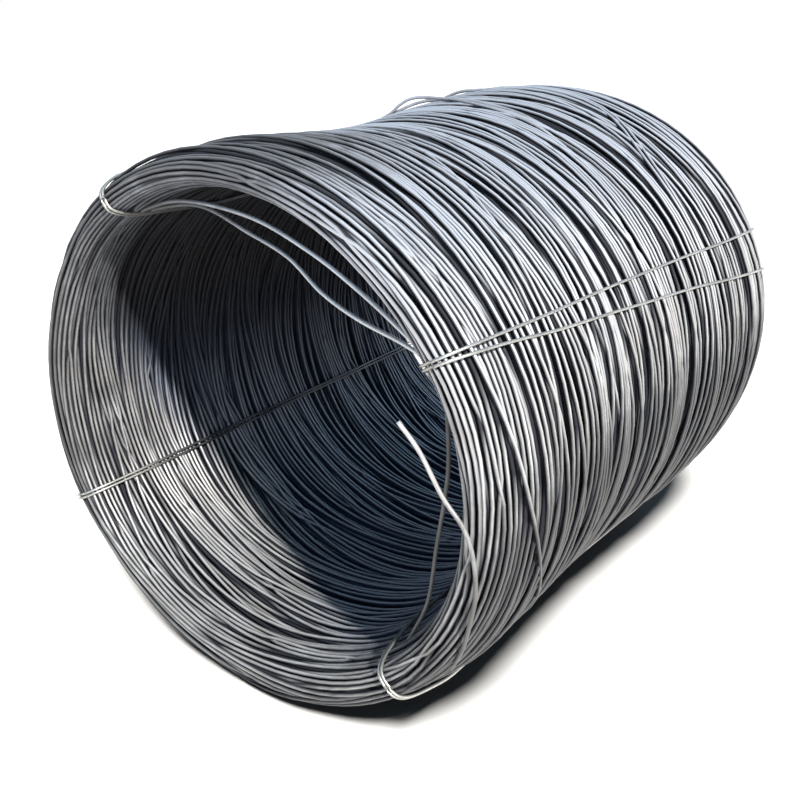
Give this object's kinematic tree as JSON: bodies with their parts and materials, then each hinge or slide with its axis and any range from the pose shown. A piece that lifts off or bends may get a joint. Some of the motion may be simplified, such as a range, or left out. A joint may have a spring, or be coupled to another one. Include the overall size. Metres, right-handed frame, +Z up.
{
  "type": "coil of wire rod",
  "caption": "Coil of steel wire rod lying on its side: thick rounded ring of rod turns with a wide open bore, held by pairs of tie wires.",
  "frame": {"origin": "bottom centre of the whole coil's box, on the floor that it lies on", "axes": "+X along the coil's bore from its near end to its far end, +Z up"},
  "size_m": [1.3638, 1.3148, 1.1952],
  "materials": {
    "rod_steel": "hot-rolled rod with a thin blue-grey scale, streaky and lightly stained brown",
    "tie_wire": "bright drawn wire"
  },
  "bodies": {
    "root": {"rod_coil": "rod_steel", "tie_wire_left_1": "tie_wire", "tie_wire_left_2": "tie_wire", "tie_wire_top_1": "tie_wire", "tie_wire_top_2": "tie_wire", "tie_wire_right_1": "tie_wire", "tie_wire_right_2": "tie_wire", "tie_wire_bottom_1": "tie_wire", "tie_wire_bottom_2": "tie_wire"}
  },
  "joints": []
}
